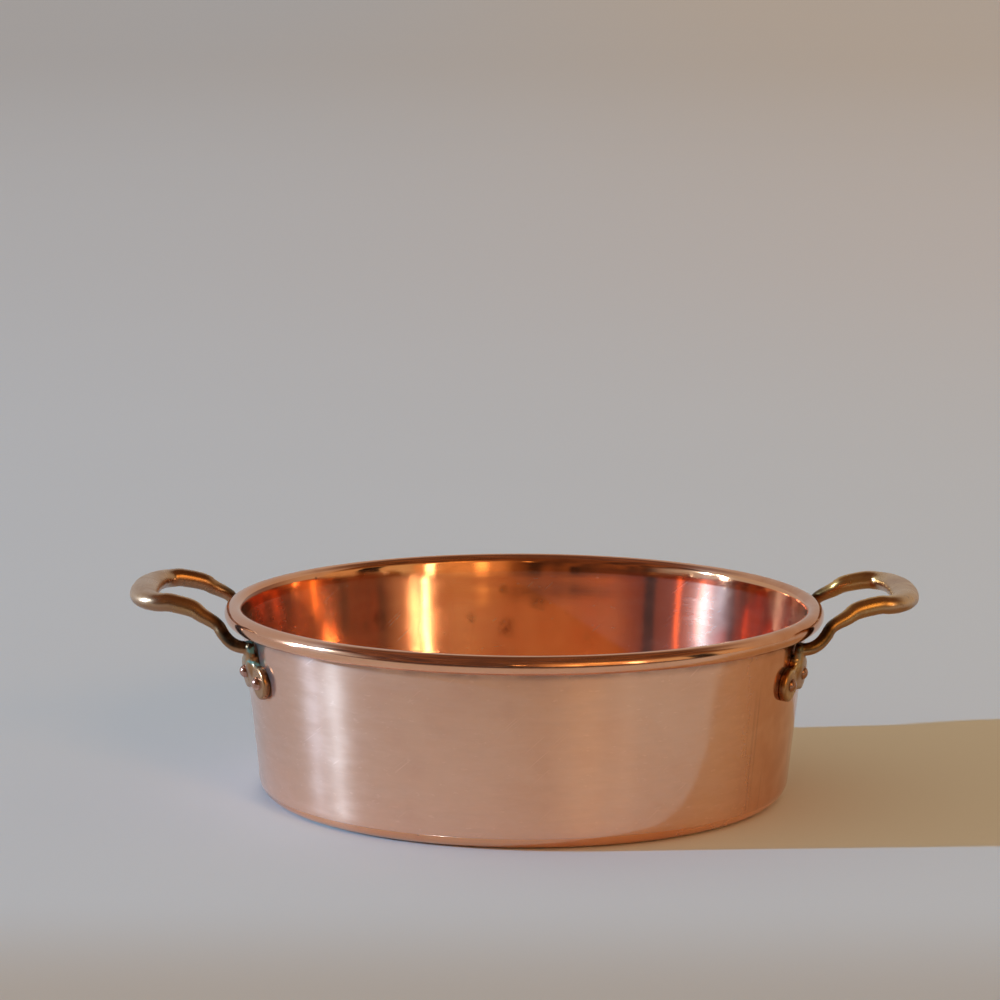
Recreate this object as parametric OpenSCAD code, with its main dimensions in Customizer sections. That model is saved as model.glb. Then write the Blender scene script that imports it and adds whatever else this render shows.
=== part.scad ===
// Round copper preserving pan with a wired rim and two cast brass loop handles,
// each held by two rivets through either foot. All sizes are in millimetres.
// The origin is the middle of the base, +Z is up and the handles lie along X.

/* [Pan] */
// Outer diameter over the rolled rim
rim_d = 380; // [340:1:420]
// Height from the table to the top of the rim
pan_h = 122.4; // [110:0.2:140]
// Thickness of the copper sheet
sheet = 1.5; // [1.2:0.1:2]
// Lean of the wall outwards from upright, in degrees
wall_lean = 6.1; // [3:0.1:9]
// Outer radius where the wall turns into the base
corner_r = 13; // [8:0.5:18]
// Diameter of the wire inside the rolled rim
wire_d = 8.6; // [7:0.1:10]
// Free play between the wire and the sheet rolled round it
wire_fit = 0.1; // [0.05:0.05:0.2]
// Gap between the edge of the roll and the wall below it
roll_gap = 0.4; // [0.2:0.1:0.8]

/* [Handles] */
// How far the grip reaches out past the rim
grip_reach = 59.7; // [52:0.1:70]
// Height of the middle of the grip above the top of the rim
grip_lift = 6.4; // [4:0.2:9]
// Width of the grip, seen from above
grip_w = 18.5; // [14:0.5:22]
// Height of the grip's section
grip_t = 12; // [10:0.5:14]
// Distance between the middles of the two arms where they leave the grip
arm_span = 92; // [86:1:100]
// Thickness of each arm beside the grip
arm_d = 11.8; // [10:0.1:13]
// Thickness of each arm where it bends round the rim
bend_t = 8; // [7:0.1:9]
// Gap between the rim and the arm that bends round it
bend_gap = 3.2; // [2.4:0.1:4]
// Width of the neck above each foot
neck_w = 12; // [10:0.5:14]
// Thickness of the neck above each foot, out from the wall
neck_t = 6.3; // [5.5:0.1:8]

/* [Feet] */
// Angle from the handle's middle to the middle of each foot, in degrees
foot_turn = 19.9; // [18:0.1:22]
// Distance from the top of the rim down to the middle of each foot
foot_drop = 37.2; // [34:0.2:42]
// Thickness of the foot plates
foot_t = 4.7; // [4:0.1:5.5]
// Radius of the two round lobes of a foot
lobe_r = 10.6; // [9.5:0.1:11.5]
// How far each foot is turned so that its outer lobe sits lower, in degrees
foot_tilt = 8; // [0:1:12]
// Radius of the rounding along the edge of a foot
edge_r = 1.6; // [0.8:0.1:2]
// Free play between the feet and the wall
foot_fit = 0.1; // [0.05:0.05:0.3]

/* [Rivets] */
// Distance between the two rivets of a foot
rivet_gap = 24.6; // [23:0.1:26]
// Diameter of the rivet shanks
shank_d = 5.4; // [4:0.1:6]
// Free play round a shank in its hole
hole_fit = 0.1; // [0.05:0.05:0.2]
// Diameter of the outer rivet heads
head_d = 8.4; // [7.5:0.1:9.5]
// Height of the domed heads on the left handle
left_head_h = 3.4; // [2:0.1:4]
// Height of the flatter heads on the right handle
right_head_h = 2.6; // [2:0.1:4]
// Diameter of the hammered ends inside the pan
tail_d = 9; // [8:0.1:11]
// Height of the hammered ends inside the pan
tail_h = 1.2; // [0.8:0.1:2]
// Gap between a head and the surface that it grips
head_fit = 0.1; // [0.05:0.05:0.2]

/* [Hidden] */
copper = "#d98a66";
worn_copper = "#c97c5c";
brass = "#a8763a";
wire_grey = "#7d7f82";

// Rim and wall, as the section that is turned about Z
bore_r = wire_d / 2 + wire_fit;
roll_r = bore_r + sheet;
roll_x = rim_d / 2 - roll_r;
roll_z = pan_h - roll_r;
wall_out = [cos(wall_lean), -sin(wall_lean)];
wall_up = [sin(wall_lean), cos(wall_lean)];
wall_top = [roll_x, roll_z] - bore_r * wall_out;
corner_x = wall_top[0] - (corner_r - (wall_top[1] - corner_r) * wall_out[1]) / wall_out[0];
corner = [corner_x, corner_r];
// Angle from the wall round to the free edge of the roll
roll_end = acos((bore_r - roll_gap) / roll_r);

// Radius of the wall's outer face at a height
function wall_r(z) = wall_top[0] - (wall_top[1] - z) * tan(wall_lean);

// Foot frame: across the foot, up the wall and out from the wall
foot_z = pan_h - foot_drop;
foot_r = wall_r(foot_z);
function foot_flat(p) = [p[0] * cos(foot_tilt) + p[1] * sin(foot_tilt),
    p[1] * cos(foot_tilt) - p[0] * sin(foot_tilt)];
function on_wall(p, out) =
    let (q = foot_flat(p))
    let (r = foot_r + q[1] * wall_up[0] + out * wall_out[0])
    let (turn = -foot_turn - q[0] / foot_r * 180 / PI)
    [r * cos(turn), r * sin(turn), foot_z + q[1] * wall_up[1] + out * wall_out[1]];
function wall_turn(p) = -foot_turn - foot_flat(p)[0] / foot_r * 180 / PI;
rivet_spots = [[-rivet_gap / 2, 0], [rivet_gap / 2, 0]];

// Foot outline: two lobes, a dip below and a fillet up to the neck on each side
dip_r = 12;
neck_fillet = 3.5;
// How far the plate stays inside the neck that runs down into it, and runs up into it
neck_inset = 0.9;
neck_overlap = 1;
plate_neck = neck_w / 2 - neck_inset;
lobe_x = rivet_gap / 2;
fillet_x = plate_neck + neck_fillet;
fillet_z = sqrt(pow(lobe_r + neck_fillet, 2) - pow(fillet_x - lobe_x, 2));
fillet_end = atan2(fillet_z, fillet_x - lobe_x);
dip_z = -sqrt(pow(lobe_r + dip_r, 2) - pow(lobe_x, 2));
dip_end = atan2(-dip_z, lobe_x);
foot_top = fillet_z + neck_overlap;
function arc(x, z, r, from, to, steps, first) =
    [for (i = [first:steps]) let (a = from + (to - from) * i / steps) [x + r * cos(a), z + r * sin(a)]];
// Lower and upper edge of the foot from lobe to lobe, drawn in by cut
function foot_low(cut) = concat(
    arc(-lobe_x, 0, lobe_r - cut, 180, 360 - dip_end, 10, 0),
    arc(0, dip_z, dip_r + cut, 180 - dip_end, dip_end, 7, 1),
    arc(lobe_x, 0, lobe_r - cut, dip_end - 180, 0, 10, 1));
function foot_high(cut) = concat(
    arc(-lobe_x, 0, lobe_r - cut, 180, 180 - fillet_end, 7, 0),
    arc(-fillet_x, fillet_z, neck_fillet + cut, -fillet_end, 0, 5, 1),
    [[-plate_neck + cut, foot_top], [plate_neck - cut, foot_top]],
    arc(fillet_x, fillet_z, neck_fillet + cut, 180, 180 + fillet_end, 5, 0),
    arc(lobe_x, 0, lobe_r - cut, fillet_end, 0, 7, 1));
function foot_loop(cut) =
    let (low = foot_low(cut), high = foot_high(cut), n = len(low))
    concat(low, [for (i = [n - 2:-1:1]) high[i]]);
// Depth and inset of each layer of the plate, with its rounded outer edge
foot_layers = concat([[foot_fit, 0]],
    [for (a = [0:30:90]) [foot_t - edge_r * (1 - sin(a)), edge_r * (1 - cos(a))]]);

// Grip and arms: stations from the middle of the grip to inside the front foot
// Each holds along, across, up, width, thickness, heading and squareness
grip_x = rim_d / 2 + grip_reach - grip_w / 2;
grip_z = pan_h + grip_lift;
arm_y = arm_span / 2;
// How far the loop's corners lie behind its grip, and how square they are
corner_back = 22;
corner_bow = 0.7;
corner_side = 0.8;
arm_x = grip_x - corner_back;
// Headings of the arm as it leaves the loop and of the neck above its foot
arm_heading = -163;
foot_heading = -180 - foot_turn;
// Distance of the bending arm's middle from the middle of the rolled rim
bend_r = roll_r + bend_gap + bend_t / 2;
// Squareness of the sections, where 2 is an ellipse
loop_square = 2.15;
bend_square = 2.05;
neck_square = 3;
// How far the sagging arm lies behind, beside and below the loop's corner, and how much thinner it is
sag_back = 11;
sag_out = 2.6;
sag_drop = 3;
sag_thin = 0.6;
// How much wider the bent arm is than it is thick
bend_flat = 0.4;
// Place where the arm ends inside the neck: up the foot, close under the rim, and out from the wall
join_up = (roll_z - bend_r - foot_z) / wall_up[1];
join_out = 2.6;
// How far the neck's back lies in front of the plate's back
neck_seat = 0.5;

// A station of the loop, from 0 at the middle of the grip to 90 where the arm sets off
function loop_station(a) =
    let (k = cos(a), x = arm_x + corner_back * pow(k, corner_bow), y = arm_y * pow(sin(a), corner_side))
    [x, -y, grip_z, arm_d + (grip_w - arm_d) * k, arm_d + (grip_t - arm_d) * k,
        -90 + (arm_heading + 90) * (1 - pow(k, 1.3)), loop_square];
// A station round the rim, at an angle up from level and a share of the closest way round
function bend_station(a, far, turn, more, heading) =
    let (r = roll_x + bend_r * far * cos(a))
    [r * cos(turn), -r * sin(turn), roll_z + bend_r * far * sin(a),
        bend_t + more + bend_flat, bend_t + more, heading, bend_square];
// A point of the neck's middle line, so far up the foot and out from the wall
function on_neck(v, out) = on_wall([-v * tan(foot_tilt), v], foot_fit + out);
// A station of the neck, with its shares of the full width and thickness
function neck_station(v, wide, thick) =
    let (t = neck_t * thick)
    concat(on_neck(v, neck_seat + t / 2), [neck_w * wide, t, foot_heading, neck_square]);
arm_stations = concat(
    [for (a = [0:15:75]) loop_station(a)],
    [loop_station(88)],
    [[arm_x - sag_back, -arm_y - sag_out, grip_z - sag_drop,
        arm_d - sag_thin, arm_d - sag_thin, arm_heading - 1, bend_square]],
    [bend_station(12.8, 1.79, 14.2, 1.6, arm_heading - 1),
        bend_station(0, 1.12, 15.6, 0.2, -166),
        bend_station(-24, 0.98, 16.9, 0, -171),
        bend_station(-49, 0.98, 18.2, 0, -178),
        bend_station(-73, 0.98, 19.3, 0, -188)],
    [concat(on_neck(join_up, join_out), [bend_t + bend_flat, bend_t, foot_heading, bend_square])]);
neck_stations = [neck_station(join_up + 4.2, 0.62, 0.6), neck_station(join_up + 3.2, 0.86, 0.84),
    neck_station(join_up + 1.6, 0.97, 0.97), neck_station(join_up - 1.4, 1, 1),
    neck_station(9, 1, 1), neck_station(6, 0.99, 0.93), neck_station(2.5, 0.95, 0.78),
    neck_station(-1, 0.88, 0.62), neck_station(-4, 0.8, 0.45)];

// Catmull-Rom curve through the stations
function blend(a, b, c, d, t) =
    0.5 * (2 * b + (c - a) * t + (2 * a - 5 * b + 4 * c - d) * t * t + (3 * b - a - 3 * c + d) * t * t * t);
last = len(arm_stations) - 1;
function mirror_station(s) = [s[0], -s[1], s[2], s[3], s[4], -180 - s[5], s[6]];
function station(i) = i < 0 ? mirror_station(arm_stations[-i]) : arm_stations[min(i, last)];
ring_steps = 3;
ring_sides = 20;
function path(k) =
    let (i = floor(k / ring_steps), t = k / ring_steps - i)
    blend(station(i - 1), station(i), station(i + 1), station(i + 2), t);
function slice(v, n) = [for (i = [0:n]) v[i]];
function unit(v) = v / norm(v);
function bulge(c, power) = sign(c) * pow(abs(c), 2 / power);
function section(s, along) =
    let (level = [-sin(s[5]), cos(s[5]), 0], mid = slice(s, 2))
    let (up = unit(cross(level, along)), side = cross(along, up))
    [for (j = [0:ring_sides - 1]) let (a = 360 * j / ring_sides)
        mid + side * bulge(cos(a), s[6]) * s[3] / 2 + up * bulge(sin(a), s[6]) * s[4] / 2];
ring_count = last * ring_steps;
function arm_ring(k) =
    let (ahead = slice(path(min(k + 0.5, ring_count)), 2), back = slice(path(k - 0.5), 2))
    section(path(k), unit(ahead - back));
neck_down = unit(on_neck(0, 0) - on_neck(join_up, 0));
function flip(points) = [for (p = points) [p[0], -p[1], p[2]]];

// Section of the sheet: base, corner, wall and the sheet rolled round the wire
turn_sides = 180;
bend_steps = 12;
roll_steps = 48;
lean_end = 180 - wall_lean;
curl_end = lean_end + roll_end - 360;
sheet_section = concat(
    [[0, 0]],
    arc(corner[0], corner[1], corner_r, -90, -wall_lean, bend_steps, 0),
    arc(roll_x, roll_z, bore_r, lean_end, curl_end, roll_steps, 0),
    arc(roll_x, roll_z, roll_r, curl_end, lean_end, roll_steps, 0),
    arc(corner[0], corner[1], corner_r - sheet, -wall_lean, -90, bend_steps, 0),
    [[0, sheet]]);

module vessel() {
    rotate_extrude($fn = turn_sides) polygon(sheet_section);
}

// A hole or shank along the rivet at a spot, out from the wall's outer face
module at_rivet(spot, back) {
    turn = wall_turn(spot);
    q = foot_flat(spot);
    r = foot_r + q[1] * wall_up[0];
    mirror([0, back ? 1 : 0, 0])
        rotate([0, 0, turn]) translate([r, 0, foot_z + q[1] * wall_up[1]])
        rotate([0, 90 + wall_lean, 0]) children();
}

module on_left() { rotate([0, 0, 180]) children(); }

// Drills run well through the sheet and the foot plate
drill_l = 30;
round_sides = 48;
module rivet_holes() {
    for (back = [false, true]) for (spot = rivet_spots)
        at_rivet(spot, back) translate([0, 0, -drill_l / 2])
            cylinder(r = shank_d / 2 + hole_fit, h = drill_l, $fn = round_sides);
}

module pan_body() {
    color(copper) difference() {
        vessel();
        rivet_holes();
        on_left() rivet_holes();
    }
}

module rim_wire() {
    color(wire_grey) rotate_extrude($fn = turn_sides) translate([roll_x, roll_z])
        circle(wire_d / 2, $fn = round_sides);
}

// A solid, or its mirror image across the X axis with its faces turned to match
module solid(points, faces, back) {
    if (back) polyhedron(flip(points), [for (f = faces) [for (i = [len(f) - 1:-1:0]) f[i]]], convexity = 6);
    else polyhedron(points, faces, convexity = 6);
}

// Faces between rows of points that follow each other
function row_faces(rows, m) = [for (i = [0:rows - 2]) for (j = [0:m - 1])
    let (a = i * m + j, b = i * m + (j + 1) % m)
    each [[a, b + m, a + m], [a, b, b + m]]];

module loft(rings, back) {
    n = len(rings);
    m = ring_sides;
    ends = [[for (j = [m - 1:-1:0]) j], [for (j = [0:m - 1]) (n - 1) * m + j]];
    solid([for (r = rings) for (p = r) p], concat(row_faces(n, m), ends), back);
}

// Grip and both arms in one loft
module loop_bar() {
    half = [for (k = [0:ring_count]) arm_ring(k)];
    loft(concat([for (k = [ring_count:-1:1]) flip(half[k])], half), false);
}

// Neck that runs from under the rim down into the plate
module neck(back) {
    loft([for (s = neck_stations) section(s, neck_down)], back);
}

// Foot plate that follows the wall, with a rounded edge
module foot_plate(back) {
    n = len(foot_low(0));
    m = 2 * n - 2;
    layers = len(foot_layers);
    points = [for (layer = foot_layers) for (p = foot_loop(layer[1])) on_wall(p, layer[0])];
    inner = [for (j = [0:n - 2]) let (high = j == 0 ? 0 : m - j, next = m - j - 1)
        each concat(j < n - 2 ? [[j, next, j + 1]] : [[j, high, j + 1]],
            j > 0 && j < n - 2 ? [[j, high, next]] : [])];
    top = (layers - 1) * m;
    outer = [for (f = inner) [top + f[0], top + f[2], top + f[1]]];
    solid(points, concat(row_faces(layers, m), inner, outer), back);
}

module handle() {
    difference() {
        union() {
            union() {
                union() {
                    union() {
                        loop_bar();
                        neck(false);
                    }
                    neck(true);
                }
                foot_plate(false);
            }
            foot_plate(true);
        }
        rivet_holes();
    }
}

module right_handle() { color(brass) handle(); }
module left_handle() { color(brass) on_left() handle(); }

// Rivet: a domed head, a shank and a hammered end inside the pan
head_z = foot_t + head_fit;
tail_z = -sheet - head_fit;
// Share of the hammered end's diameter that its flat top keeps
tail_top = 0.72;
module rivet(spot, back, head_h) {
    dome_r = (pow(head_d / 2, 2) + pow(head_h, 2)) / (2 * head_h);
    low = tail_z - tail_h / 2;
    high = head_z + head_h / 4;
    at_rivet(spot, back) union() {
        translate([0, 0, low]) cylinder(d = shank_d, h = high - low, $fn = round_sides);
        rotate_extrude($fn = round_sides) intersection() {
            translate([0, head_z + head_h - dome_r]) circle(dome_r, $fn = 2 * round_sides);
            translate([0, head_z]) square([head_d, 2 * head_h]);
        }
        translate([0, 0, tail_z - tail_h])
            cylinder(d1 = tail_d * tail_top, d2 = tail_d, h = tail_h, $fn = round_sides);
    }
}

module left_rivet(i) {
    color(worn_copper) on_left() rivet(rivet_spots[(i - 1) % 2], i <= 2, left_head_h);
}
module right_rivet(i) {
    color(worn_copper) rivet(rivet_spots[(i - 1) % 2], i > 2, right_head_h);
}

pan_body();
rim_wire();
left_handle();
right_handle();
left_rivet(1);  // left_rivet_1
left_rivet(2);  // left_rivet_2
left_rivet(3);  // left_rivet_3
left_rivet(4);  // left_rivet_4
right_rivet(1);  // right_rivet_1
right_rivet(2);  // right_rivet_2
right_rivet(3);  // right_rivet_3
right_rivet(4);  // right_rivet_4
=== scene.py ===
import functools
import math
from types import SimpleNamespace

import bmesh
import bpy
from mathutils import Matrix, Vector, noise


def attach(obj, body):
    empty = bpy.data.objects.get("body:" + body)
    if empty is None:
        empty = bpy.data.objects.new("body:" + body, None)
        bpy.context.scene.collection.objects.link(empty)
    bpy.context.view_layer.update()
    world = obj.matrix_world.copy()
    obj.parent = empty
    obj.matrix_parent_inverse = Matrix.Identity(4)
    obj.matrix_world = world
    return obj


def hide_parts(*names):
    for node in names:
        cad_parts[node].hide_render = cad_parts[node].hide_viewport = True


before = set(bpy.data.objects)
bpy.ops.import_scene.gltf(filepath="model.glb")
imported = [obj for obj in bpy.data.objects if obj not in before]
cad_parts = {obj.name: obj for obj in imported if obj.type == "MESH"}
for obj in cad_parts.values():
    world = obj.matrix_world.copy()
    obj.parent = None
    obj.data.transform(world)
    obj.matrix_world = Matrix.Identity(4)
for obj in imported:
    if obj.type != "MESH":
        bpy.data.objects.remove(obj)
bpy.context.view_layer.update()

# Sizes in millimetres, the same as the solids have, and one millimetre in metres
mm = 0.001
rim_d = 380
pan_h = 122.4
sheet = 1.5
wall_lean = math.radians(6.1)
corner_r = 13
wire_d = 8.6
wire_fit = 0.1
roll_gap = 0.4
grip_reach = 59.7
grip_lift = 6.4
grip_w = 18.5
grip_t = 12
arm_span = 92
arm_d = 11.8
bend_t = 8
bend_gap = 3.2
neck_w = 12
neck_t = 6.3
foot_turn = math.radians(19.9)
foot_drop = 37.2
foot_t = 4.7
lobe_r = 10.6
foot_tilt = math.radians(8)
edge_r = 1.6
foot_fit = 0.1
rivet_gap = 24.6

bore_r = wire_d / 2 + wire_fit
roll_r = bore_r + sheet
roll_x = rim_d / 2 - roll_r
roll_z = pan_h - roll_r
wall_out = (math.cos(wall_lean), -math.sin(wall_lean))
wall_up = (math.sin(wall_lean), math.cos(wall_lean))
wall_top = (roll_x - bore_r * wall_out[0], roll_z - bore_r * wall_out[1])
corner_x = wall_top[0] - (corner_r - (wall_top[1] - corner_r) * wall_out[1]) / wall_out[0]
roll_end = math.acos((bore_r - roll_gap) / roll_r)


def wall_r(z):
    """Radius of the wall's outer face at a height."""
    return wall_top[0] - (wall_top[1] - z) * math.tan(wall_lean)


def arc(x, z, r, start, end, steps, first=0):
    """Points along an arc, with angles in radians."""
    turns = [start + (end - start) * i / steps for i in range(first, steps + 1)]
    return [(x + r * math.cos(turn), z + r * math.sin(turn)) for turn in turns]


def line(a, b, steps):
    """Points between two ends, without the ends."""
    return [(a[0] + (b[0] - a[0]) * i / steps, a[1] + (b[1] - a[1]) * i / steps)
            for i in range(1, steps)]


def smooth_step(low, high, value):
    """0 below low, 1 above high and a soft rise between them."""
    t = min(1, max(0, (value - low) / (high - low)))
    return t * t * (3 - 2 * t)


def mesh_of(work, name):
    """Ends the work on a skin and returns it as a mesh."""
    mesh = bpy.data.meshes.new(name)
    work.to_mesh(mesh)
    work.free()
    return mesh


def new_object(name, mesh, slot=None):
    """Links a mesh as an object at the origin, shaded smooth."""
    piece = bpy.data.objects.new(name, mesh)
    bpy.context.scene.collection.objects.link(piece)
    mesh.polygons.foreach_set("use_smooth", [True] * len(mesh.polygons))
    if slot:
        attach(piece, "root")
    return piece


# Pan: the sheet's section turned about Z, with the slight waves of planished copper
turn_sides = 300
base_rings = (0, 20, 60, 100, 130)
corner_steps = 12
wall_steps = 30
bore_steps = 36
roll_steps = 56
merge_gap = 0.001
rim_ease = 0.02
wave_r = 140
# Heights and degrees from the X axis over which the waves set in or end
corner_calm = (4, 30)
rim_calm = (100, 113)
feet_calm = (32, 45)
feet_height = (55, 68)
# Waves: their length round and up the wall, where the pattern starts, and their depth
broad_wave = (90, 70, 3.1, 0.42)
small_wave = (28, 24, 9.7, 0.06)


def sheet_section():
    """Section of the sheet from the base's middle over the roll and back, outside first."""
    quarter = math.pi / 2
    lean_end = math.pi - wall_lean
    curl_end = lean_end + roll_end - 2 * math.pi
    low_out = arc(corner_x, corner_r, corner_r, -quarter, -wall_lean, corner_steps)
    low_in = arc(corner_x, corner_r, corner_r - sheet, -wall_lean, -quarter, corner_steps)
    bore = arc(roll_x, roll_z, bore_r, lean_end, curl_end, bore_steps)
    roll_out = arc(roll_x, roll_z, roll_r, curl_end, lean_end, roll_steps)
    base_out = [(r, 0) for r in base_rings]
    base_in = [(r, sheet) for r in reversed(base_rings)]
    return (base_out + low_out + line(low_out[-1], bore[0], wall_steps) + bore
            + roll_out + line(roll_out[-1], low_in[0], wall_steps) + low_in + base_in)


def ripple(x, y, z, across, up, start, depth):
    """One size of wave at a place, in millimetres."""
    return depth * noise.noise(Vector((x / across, y / across, z / up + start)))


def wave(x, y, z):
    """How far the wall bulges at a place: not at the rim, at the corner or at the feet."""
    from_x = math.degrees(math.atan2(abs(y), abs(x)))
    near_foot = (1 - smooth_step(*feet_calm, from_x)) * smooth_step(*feet_height, z)
    share = smooth_step(*corner_calm, z) * (1 - smooth_step(*rim_calm, z)) * (1 - near_foot)
    return share * (ripple(x, y, z, *broad_wave) + ripple(x, y, z, *small_wave))


def pan_mesh():
    """The whole sheet as one closed skin, spun from its section and then bulged."""
    work = bmesh.new()
    dots = [work.verts.new((r, 0, z)) for r, z in sheet_section()]
    threads = [work.edges.new(pair) for pair in zip(dots, dots[1:])]
    bmesh.ops.spin(work, geom=dots + threads, cent=(0, 0, 0), axis=(0, 0, 1),
                   angle=2 * math.pi, steps=turn_sides, use_merge=True)
    bmesh.ops.remove_doubles(work, verts=work.verts, dist=merge_gap)
    for v in work.verts:
        x, y, z = v.co
        r = math.hypot(x, y)
        push = 1 + (wave(x, y, z) - rim_ease) / r if r > wave_r else 1
        v.co = (x * push, y * push, z)
    bmesh.ops.recalc_face_normals(work, faces=work.faces)
    bmesh.ops.scale(work, vec=(mm, mm, mm), verts=work.verts)
    return mesh_of(work, "pan")


# Handles: the same stations as the solids, followed in finer steps. A station is a place,
# a width, a thickness, a heading and how square its section is.
arm_heading = math.radians(-163)
foot_heading = -math.pi - foot_turn
corner_back = 22
corner_bow = 0.7
corner_side = 0.8
corner_turn = 1.3
loop_square = 2.15
bend_square = 2.05
neck_square = 3
sag_back = 11
sag_out = 2.6
sag_drop = 3
sag_thin = 0.6
bend_flat = 0.4
neck_seat = 0.5
join_out = 2.6
grip_x = rim_d / 2 + grip_reach - grip_w / 2
grip_z = pan_h + grip_lift
arm_y = arm_span / 2
arm_x = grip_x - corner_back
bend_r = roll_r + bend_gap + bend_t / 2
foot_z = pan_h - foot_drop
foot_r = wall_r(foot_z)
join_up = (roll_z - bend_r - foot_z) / wall_up[1]
arm_steps = 6
bar_sides = 40
way_step = 0.15
loop_degrees = (0, 15, 30, 45, 60, 75, 88)
# Angle up from level, share of the closest way round the rim, turn, added size, heading
bend_stops = ((12.8, 1.79, 14.2, 1.6, -164), (0, 1.12, 15.6, 0.2, -166), (-24, 0.98, 16.9, 0, -171),
              (-49, 0.98, 18.2, 0, -178), (-73, 0.98, 19.3, 0, -188))
# Height over the rivets, share of the full width, share of the full thickness
neck_stops = ((join_up + 4.2, 0.62, 0.6), (join_up + 3.2, 0.86, 0.84),
              (join_up + 1.6, 0.97, 0.97), (join_up - 1.4, 1, 1), (9, 1, 1), (6, 0.99, 0.93),
              (2.5, 0.95, 0.78), (-1, 0.88, 0.62), (-4, 0.8, 0.45))


def foot_flat(p):
    """A foot's own point, turned by the foot's tilt."""
    c, s = math.cos(foot_tilt), math.sin(foot_tilt)
    return p[0] * c + p[1] * s, p[1] * c - p[0] * s


def on_wall(p, out):
    """Place of a foot's point on the wall, so far out from its face."""
    q = foot_flat(p)
    r = foot_r + q[1] * wall_up[0] + out * wall_out[0]
    turn = -foot_turn - q[0] / foot_r
    return r * math.cos(turn), r * math.sin(turn), foot_z + q[1] * wall_up[1] + out * wall_out[1]


def loop_station(degrees):
    """A station of the loop, from 0 at the grip's middle to 90 where the arm sets off."""
    a = math.radians(degrees)
    k = math.cos(a)
    x = arm_x + corner_back * k ** corner_bow
    heading = -math.pi / 2 + (arm_heading + math.pi / 2) * (1 - k ** corner_turn)
    return (x, -arm_y * math.sin(a) ** corner_side, grip_z, arm_d + (grip_w - arm_d) * k,
            arm_d + (grip_t - arm_d) * k, heading, loop_square)


def bend_station(degrees, far, turn, more, heading):
    """A station round the rim, at an angle up from level and a share of the closest way round."""
    a, t = math.radians(degrees), math.radians(turn)
    r = roll_x + bend_r * far * math.cos(a)
    return (r * math.cos(t), -r * math.sin(t), roll_z + bend_r * far * math.sin(a),
            bend_t + more + bend_flat, bend_t + more, math.radians(heading), bend_square)


def on_neck(v, out):
    """A point of the neck's middle line, so far up the foot and out from the wall."""
    return on_wall((-v * math.tan(foot_tilt), v), foot_fit + out)


def neck_station(v, wide, thick):
    """A station of the neck, with its shares of the full width and thickness."""
    t = neck_t * thick
    return (*on_neck(v, neck_seat + t / 2), neck_w * wide, t, foot_heading, neck_square)


def arm_stations():
    """All stations from the middle of the grip to inside the front neck."""
    sag = (arm_x - sag_back, -arm_y - sag_out, grip_z - sag_drop, arm_d - sag_thin,
           arm_d - sag_thin, arm_heading - math.radians(1), bend_square)
    joined = (*on_neck(join_up, join_out), bend_t + bend_flat, bend_t, foot_heading, bend_square)
    return ([loop_station(degrees) for degrees in loop_degrees] + [sag]
            + [bend_station(*stop) for stop in bend_stops] + [joined])


def neck_stations():
    """The neck's stations, from its round top down into the plate."""
    return [neck_station(*stop) for stop in neck_stops]


def blend(a, b, c, d, t):
    """One value on the smooth curve from b to c."""
    return 0.5 * (2 * b + (c - a) * t + (2 * a - 5 * b + 4 * c - d) * t * t
                  + (3 * b - a - 3 * c + d) * t ** 3)


def path_point(stations, k):
    """The station at a share of steps along the front half, mirrored before the grip's middle."""
    last = len(stations) - 1

    def station(i):
        s = stations[min(abs(i), last)]
        return s if i >= 0 else (s[0], -s[1], s[2], s[3], s[4], -math.pi - s[5], s[6])

    i = math.floor(k)
    around = [station(i + step) for step in (-1, 0, 1, 2)]
    return [blend(*values, k - i) for values in zip(*around)]


def bulge(value, power):
    """Superellipse coordinate."""
    return math.copysign(abs(value) ** (2 / power), value)


def section(s, along):
    """Points round one station's superellipse, square to the way along."""
    level = Vector((-math.sin(s[5]), math.cos(s[5]), 0))
    up = level.cross(along).normalized()
    side = along.cross(up)
    ring = []
    for j in range(bar_sides):
        a = 2 * math.pi * j / bar_sides
        aside = side * bulge(math.cos(a), s[6]) * s[3] / 2
        above = up * bulge(math.sin(a), s[6]) * s[4] / 2
        ring.append(Vector(s[:3]) + aside + above)
    return ring


def arm_ring(stations, k):
    """One section of the arm, as points in millimetres."""
    ahead = Vector(path_point(stations, min(k + way_step, len(stations) - 1))[:3])
    back = Vector(path_point(stations, k - way_step)[:3])
    return section(path_point(stations, k), (ahead - back).normalized())


def add_loft(work, rings):
    """A closed skin bridged from ring to ring."""
    loops = []
    for ring in rings:
        dots = [work.verts.new(p) for p in ring]
        loops.append([work.edges.new(pair) for pair in zip(dots, dots[1:] + dots[:1])])
    for low, high in zip(loops, loops[1:]):
        bmesh.ops.bridge_loops(work, edges=low + high)
    for end in (loops[0], loops[-1]):
        bmesh.ops.contextual_create(work, geom=end)


def mirrored(ring):
    """The same ring on the other side of the X axis."""
    return [Vector((p.x, -p.y, p.z)) for p in ring]


def add_bars(work):
    """The grip with both arms, and the two necks."""
    stations = arm_stations()
    half = [arm_ring(stations, k / arm_steps) for k in range((len(stations) - 1) * arm_steps + 1)]
    add_loft(work, [mirrored(ring) for ring in reversed(half[1:])] + half)
    down = (Vector(on_neck(0, 0)) - Vector(on_neck(join_up, 0))).normalized()
    neck = [section(s, down) for s in neck_stations()]
    add_loft(work, neck)
    add_loft(work, [mirrored(ring) for ring in neck])


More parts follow.
